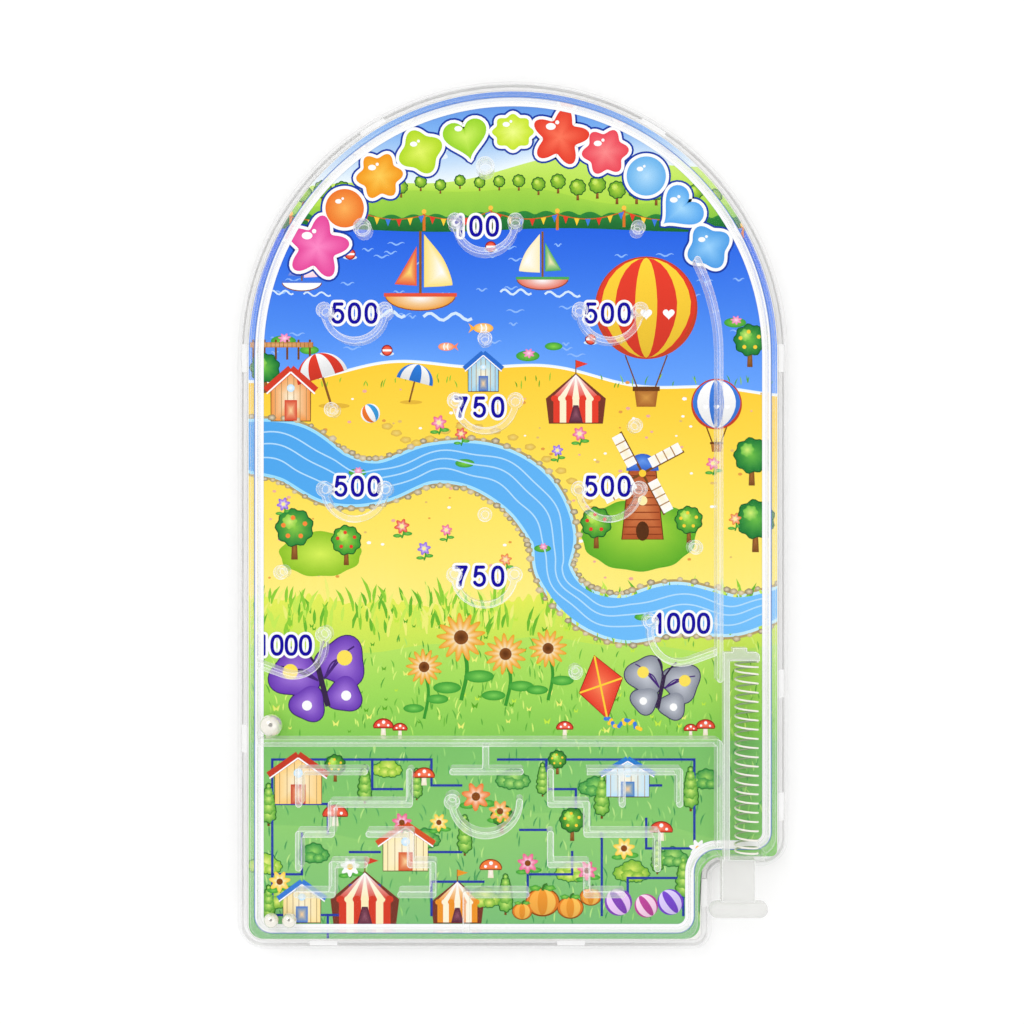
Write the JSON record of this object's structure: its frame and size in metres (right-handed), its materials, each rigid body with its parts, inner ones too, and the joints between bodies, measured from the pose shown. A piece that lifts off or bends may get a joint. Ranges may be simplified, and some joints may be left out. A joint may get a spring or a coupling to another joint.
{
  "type": "handheld pinball game",
  "caption": "Flat arched clear case with a sprung plunger, cups and posts over a printed card for one ball, and a small ball maze below.",
  "frame": {"origin": "middle of the back, on the plane that the case lies on", "axes": "+X to the right of the playfield, +Y up the playfield towards the arch, +Z out of the clear front"},
  "size_m": [0.15, 0.2362, 0.015],
  "materials": {
    "clear_polystyrene": "clear, polished",
    "tray_polystyrene": "clear with a grey cast",
    "printed_card": "printed in many colours, satin",
    "milky_plastic": "milky, translucent",
    "spring_steel": "bright wire",
    "ball_steel": "polished"
  },
  "bodies": {
    "case": {"back_tray": "tray_polystyrene", "playfield_card": "printed_card", "front_cover": "clear_polystyrene", "side_wall": "clear_polystyrene", "lane_divider": "clear_polystyrene", "maze_rail": "clear_polystyrene", "score_cup_100": "clear_polystyrene", "score_cup_500_upper_left": "clear_polystyrene", "score_cup_500_upper_right": "clear_polystyrene", "score_cup_750_upper": "clear_polystyrene", "score_cup_500_lower_left": "clear_polystyrene", "score_cup_500_lower_right": "clear_polystyrene", "score_cup_750_lower": "clear_polystyrene", "score_cup_1000_left": "clear_polystyrene", "score_cup_1000_right": "clear_polystyrene", "wide_posts": "clear_polystyrene", "field_posts": "clear_polystyrene", "maze_cup": "clear_polystyrene", "maze_tee": "clear_polystyrene", "maze_stem": "clear_polystyrene", "maze_rib_left_top": "clear_polystyrene", "maze_rib_left_stair": "clear_polystyrene", "maze_rib_middle_stair": "clear_polystyrene", "maze_rib_left_low": "clear_polystyrene", "maze_rib_right_stair": "clear_polystyrene", "maze_rib_right_comb": "clear_polystyrene", "maze_rib_right_low": "clear_polystyrene", "plunger_spring": "spring_steel"},
    "plunger": {"plunger": "milky_plastic"},
    "big_ball": {"big_ball": "ball_steel"},
    "small_ball_left": {"small_ball_left": "ball_steel"},
    "small_ball_right": {"small_ball_right": "ball_steel"}
  },
  "joints": [
    {"name": "plunger_slide", "type": "slide", "parent": "case", "child": "plunger", "axis": [0, -1, 0], "range_m": [0, 0.028], "stiffness_N_per_m": 117, "springref_m": -0.006, "deforming": ["plunger_spring"]},
    {"name": "big_ball_roll", "type": "slide", "parent": "case", "child": "big_ball", "axis": [1, 0, 0], "range_m": [0, 0.1179]},
    {"name": "small_ball_left_roll", "type": "slide", "parent": "case", "child": "small_ball_left", "axis": [0, 1, 0], "range_m": [0, 0.045]},
    {"name": "small_ball_right_roll", "type": "slide", "parent": "case", "child": "small_ball_right", "axis": [1, 0, 0], "range_m": [0, 0.0445]}
  ]
}
